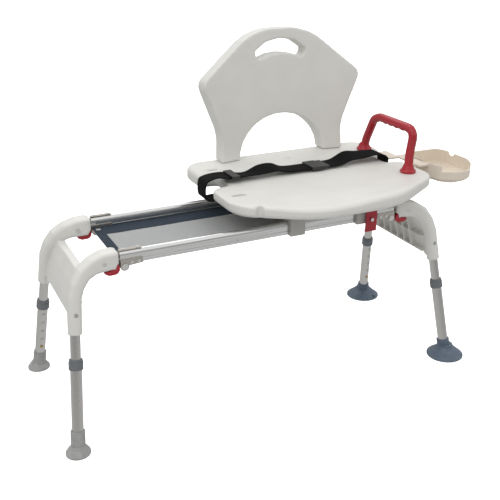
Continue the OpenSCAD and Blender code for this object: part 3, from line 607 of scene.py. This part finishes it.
@dataclass
class Strap:
    """A length of flat webbing that lies over the seat."""

    piece: str
    node: str
    points: list[tuple[float, float, float, float, float]]
    """Each point is x, y and z in millimetres, the roll in degrees and the width in millimetres."""
    thick_mm: float = 1.8
    across: int = 10
    width_mm: float = 50.0

    def build(self) -> bpy.types.Object:
        """Sweep the webbing's section along its line.

        Returns:
            The new piece.
        """
        centres = curve_through([Vector(p[:3]) * MM for p in self.points], 10)
        extras = curve_through([Vector((p[3], p[4], 0.0)) for p in self.points], 10)
        section = self.section()
        work = bmesh.new()
        rings: list[list[bmesh.types.BMVert]] = []
        run = [0.0]
        for i, centre in enumerate(centres):
            ahead = centres[min(i + 1, len(centres) - 1)] - centres[max(i - 1, 0)]
            ahead.normalize()
            roll = math.radians(extras[i][0])
            side = Vector((0, 1, 0)) - ahead * ahead.y
            side.normalize()
            up = ahead.cross(side)
            cos, sin = math.cos(roll), math.sin(roll)
            side, up = side * cos + up * sin, up * cos - side * sin
            width = extras[i][1] * MM
            ring = [centre + side * (u * width) + up * (v * MM) for u, v in section]
            rings.append([work.verts.new(point) for point in ring])
            if i:
                run.append(run[-1] + (centre - centres[i - 1]).length)
        layer = work.loops.layers.uv.new("cloth")
        count = len(section)
        for i in range(len(rings) - 1):
            for k in range(count):
                j = (k + 1) % count
                face = work.faces.new((rings[i][k], rings[i][j], rings[i + 1][j], rings[i + 1][k]))
                for loop, (u, v) in zip(
                    face.loops,
                    ((run[i], k), (run[i], k + 1), (run[i + 1], k + 1), (run[i + 1], k)),
                ):
                    loop[layer].uv = (u, v * self.width_mm * MM / self.across)
        work.faces.new(list(reversed(rings[0])))
        work.faces.new(rings[-1])
        bmesh.ops.recalc_face_normals(work, faces=work.faces)
        mesh = bpy.data.meshes.new(self.piece)
        work.to_mesh(mesh)
        work.free()
        piece = new_piece(self.piece, mesh)
        piece.data.shade_smooth()
        return piece

    def section(self) -> list[tuple[float, float]]:
        """Draw the webbing's section, with selvedges a little thicker than its middle.

        Returns:
            Points as a share of the width and a height in millimetres.
        """
        half = self.thick_mm / 2
        row = [k / self.across - 0.5 for k in range(self.across + 1)]
        top = [(u * 0.985, half * (1.25 if abs(u) > 0.42 else 1.0)) for u in row]
        return top + [(0.5, 0.0)] + [(u, -v) for u, v in reversed(top)] + [(-0.5, 0.0)]

    def dress(self, piece: bpy.types.Object, materials: dict[str, Material]) -> None:
        """Give the strap its webbing and its place in the frame.

        Args:
            piece: the built strap.
            materials: material of each slot.
        """
        dress(piece, materials["webbing"])
        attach(piece, "carriage")
        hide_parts(self.node)


@dataclass
class RailPanel:
    """The mesh panel between the rails, with its woven border."""

    thick_mm: float = 1.2
    sag_mm: float = 4.0
    border_mm: float = 46.0
    end_border_mm: float = 22.0
    columns: int = 72
    rows: int = 24

    def build(self) -> list[bpy.types.Object]:
        """Make the mesh, its two side borders and its two end hems.

        Returns:
            The cloth first, then the borders.
        """
        low, high = (Vector(c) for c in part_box("panel_binding"))
        middle = (low.z + high.z) / 2
        rail_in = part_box("rail_back")[0][1] - 1.0 * MM
        span_x, span_y = (low.x + 0.5 * MM, high.x - 0.5 * MM), (-rail_in, rail_in)
        cloth = self.patch("Mesh_panel", span_x, span_y, middle, 0.0, self.thick_mm)
        edge, hem = self.border_mm * MM, self.end_border_mm * MM
        pieces = [cloth]
        for name, xs, ys in (
            ("Border_front", span_x, (span_y[0], span_y[0] + edge)),
            ("Border_back", span_x, (span_y[1] - edge, span_y[1])),
            ("Hem_left", (span_x[0], span_x[0] + hem), (span_y[0] + edge, span_y[1] - edge)),
            ("Hem_right", (span_x[1] - hem, span_x[1]), (span_y[0] + edge, span_y[1] - edge)),
        ):
            pieces.append(self.patch(name, xs, ys, middle, (self.thick_mm + 1.0) / 2, 0.9))
        return pieces

    def patch(
        self,
        name: str,
        xs: tuple[float, float],
        ys: tuple[float, float],
        middle: float,
        lift_mm: float,
        thick_mm: float,
    ) -> bpy.types.Object:
        """Make one flat-woven patch that follows the panel's sag.

        Args:
            name: the piece's name.
            xs: its two ends along the rails.
            ys: its two sides.
            middle: the panel's height.
            lift_mm: how far it lies above the panel's middle.
            thick_mm: its thickness.

        Returns:
            The new piece.
        """
        low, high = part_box("panel_binding")
        work = bmesh.new()
        layer = work.loops.layers.uv.new("cloth")
        grid: list[list[bmesh.types.BMVert]] = []
        for i in range(self.columns + 1):
            row = []
            for k in range(self.rows + 1):
                x = xs[0] + (xs[1] - xs[0]) * i / self.columns
                y = ys[0] + (ys[1] - ys[0]) * k / self.rows
                along = min(x - low[0], high[0] - x) / (20 * MM)
                drop = self.sag_mm * MM * (1 - (y / high[1]) ** 2) * min(1.0, 0.4 + 0.2 * along)
                ripple = 0.5 * MM * math.sin(x * 47) * math.cos(y * 38)
                row.append(work.verts.new((x, y, middle - drop + ripple + lift_mm * MM)))
            grid.append(row)
        for i in range(self.columns):
            for k in range(self.rows):
                near, far = grid[i], grid[i + 1]
                face = work.faces.new((near[k], far[k], far[k + 1], near[k + 1]))
                for loop in face.loops:
                    loop[layer].uv = (loop.vert.co.x, loop.vert.co.y)
        mesh = bpy.data.meshes.new(name)
        work.to_mesh(mesh)
        work.free()
        piece = new_piece(name, mesh)
        body = piece.modifiers.new("thickness", "SOLIDIFY")
        body.thickness = thick_mm * MM
        body.offset = 0.0
        bake_modifiers(piece)
        piece.data.shade_smooth()
        return piece

    def dress(self, pieces: list[bpy.types.Object], materials: dict[str, Material]) -> None:
        """Give the panel its cloths and its place in the frame.

        Args:
            pieces: the cloth, then the borders.
            materials: material of each slot.
        """
        for piece in pieces:
            slot = "mesh_fabric" if piece is pieces[0] else "binding_fabric"
            dress(piece, materials[slot])
            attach(piece, "base")
        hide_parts("mesh_panel")
        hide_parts("panel_binding")


def belt_straps() -> tuple[Strap, Strap]:
    """Lay out the belt's two straps from the seat and the buckle.

    Returns:
        The strap at the seat's outer end, then the one at the handle.
    """
    seat_low, seat_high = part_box("seat_shell")
    x0, top = seat_low[0] / MM, seat_high[2] / MM
    y = (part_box("belt_left")[0][1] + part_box("belt_left")[1][1]) / 2 / MM
    mid_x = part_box("belt_hardware")[1][0] / MM - 25
    wide = Strap.width_mm
    left = Strap(
        "Belt_left",
        "belt_left",
        [
            (x0 + 34, y, top - 43, 0, wide),
            (x0 + 4, y, top - 43.5, 0, wide),
            (x0 - 7, y, top - 36, 0, wide),
            (x0 - 9, y, top - 18, 0, wide),
            (x0 - 6, y, top + 1, 0, wide),
            (x0 + 6, y, top + 8, -2, wide),
            (x0 + 26, y, top + 11, -2, 49),
            (x0 + 50, y, top + 8.5, 3, wide),
            (x0 + 71, y, top + 6.8, 0, wide),
            (x0 + 110, y - 3, top + 5, -5, 46),
            (x0 + 150, y - 4, top + 12, 14, 44),
            (x0 + 185, y - 1, top + 12, 10, 46),
            (x0 + 220, y, top + 3, 0, 49),
            (mid_x - 26, y, top + 1, 0, wide),
        ],
    )
    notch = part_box("seat_shell")[1][0] / MM - 50
    right = Strap(
        "Belt_right",
        "belt_right",
        [
            (mid_x + 26, y, top + 1, 0, wide),
            (mid_x + 58, y, top + 2, 4, wide),
            (mid_x + 95, y + 2, top + 13, 14, 47),
            (mid_x + 130, y + 2, top + 12, 8, 48),
            (notch - 28, y, top + 14, 0, wide),
            (notch - 6, y, top + 12, 0, wide),
            (notch + 10, y, top + 2, 0, wide),
            (notch + 13, y, top - 17, 0, wide),
        ],
    )
    return left, right


# ---- The stage ----


@dataclass
class Stage:
    """The pale floor, the soft studio light and the camera."""

    eye_mm: tuple[float, float, float] = (-828.5, -1651.2, 1090.1)
    aim_mm: tuple[float, float, float] = (-41.4, 7.8, 309.1)
    lens_mm: float = 57.74
    shift: tuple[float, float] = (0.011, 0.001)
    lamps: tuple[tuple[tuple[float, float, float], float, float], ...] = (
        ((-1.6, -1.2, 2.6), 1.2, 16.0),
        ((2.6, -1.4, 1.8), 1.0, 5.0),
        ((0.4, 1.8, 2.6), 1.6, 10.0),
    )
    """Each lamp is its place and its size in metres, and its power in watts."""
    sky_strength: float = 1.16
    floor_size: float = 60.0
    floor_glow: float = 0.7

    def build(self) -> None:
        """Make the floor, the lamps, the sky and the camera."""
        self.floor()
        for place, size, power in self.lamps:
            light = bpy.data.lights.new("softbox", "AREA")
            light.energy = power
            light.size = size
            lamp = bpy.data.objects.new("softbox", light)
            lamp.location = place
            to_bench = Vector((0, 0, 0.4)) - Vector(place)
            lamp.rotation_euler = to_bench.to_track_quat("-Z", "Y").to_euler()
            bpy.context.scene.collection.objects.link(lamp)
        self.room()
        bpy.context.scene.view_settings.view_transform = "Standard"
        data = bpy.data.cameras.new("camera")
        data.lens = self.lens_mm
        data.sensor_width = 36.0
        data.shift_x, data.shift_y = self.shift
        camera = bpy.data.objects.new("camera", data)
        eye, aim = Vector(self.eye_mm) * MM, Vector(self.aim_mm) * MM
        camera.location = eye
        camera.rotation_euler = (aim - eye).to_track_quat("-Z", "Y").to_euler()
        bpy.context.scene.collection.objects.link(camera)
        bpy.context.scene.camera = camera

    def room(self) -> None:
        """Make the studio's walls, bright above with a dim band that bare metal mirrors."""
        world = bpy.data.worlds.new("studio")
        world.use_nodes = True
        tree = world.node_tree
        heading = add_node(tree, "TexCoord").outputs["Generated"]
        height = add_node(tree, "SeparateXYZ", None, {"Vector": heading}).outputs["Z"]
        span = {"From Min": -1.0, "From Max": 1.0}
        rise = add_node(tree, "MapRange", None, {"Value": height, **span})
        levels = ((0.0, 0.62), (0.4, 0.5), (0.5, 0.2), (0.6, 0.34), (0.75, 0.85))
        walls = ramp(
            add_node(tree, "ValToRGB", None, {"Fac": rise.outputs[0]}),
            [(place, grey(level)) for place, level in levels],
        )
        sky = tree.nodes["Background"]
        tree.links.new(walls.outputs[0], sky.inputs["Color"])
        sky.inputs["Strength"].default_value = self.sky_strength
        bpy.context.scene.world = world

    def floor(self) -> None:
        """Make the wide pale floor under the feet, which glows like a light table."""
        work = bmesh.new()
        bmesh.ops.create_grid(work, x_segments=8, y_segments=8, size=self.floor_size)
        mesh = bpy.data.meshes.new("floor")
        work.to_mesh(mesh)
        work.free()
        floor = new_piece("floor", mesh)
        paper = MouldedPlastic("studio_paper", "none", "#FFFFFF", 0.95, 3.0, 0.0, 0.0, 0.0)
        backing = paper.build()
        shader = next(n for n in backing.node_tree.nodes if n.type == "BSDF_PRINCIPLED")
        shader.inputs["Emission Color"].default_value = grey(1.0)
        shader.inputs["Emission Strength"].default_value = self.floor_glow
        dress(floor, backing)
        floor.visible_diffuse = False
        floor.visible_glossy = False


def dress_cad(materials: dict[str, Material]) -> int:
    """Give every CAD node the finish of its slot, with smooth round faces.

    Args:
        materials: material of each slot.

    Returns:
        How many nodes were dressed.
    """
    slots = {part["node"]: part["material_slot"] for part in frame["record"]["subparts"]}
    for name, node in frame["nodes"].items():
        dress(node, materials[slots[name]])
        smooth(node, 32)
    return len(slots)


def main() -> None:
    """Build every sub-assembly in order and report it."""
    logging.basicConfig(level=logging.INFO, format="%(message)s")
    Stage().build()
    materials = {finish.slot: finish.build() for finish in FINISHES}
    log.info("dressed %d CAD nodes", dress_cad(materials))
    for shell in SHELLS:
        piece = shell.build()
        shell.dress(piece, materials)
        log.info("%s: %d faces", piece.name, len(piece.data.polygons))
    panel = RailPanel()
    cloths = panel.build()
    panel.dress(cloths, materials)
    log.info("panel: %d pieces", len(cloths))
    for strap in belt_straps():
        piece = strap.build()
        strap.dress(piece, materials)
        log.info("%s: %d faces", piece.name, len(piece.data.polygons))


if __name__ == "__main__":
    main()
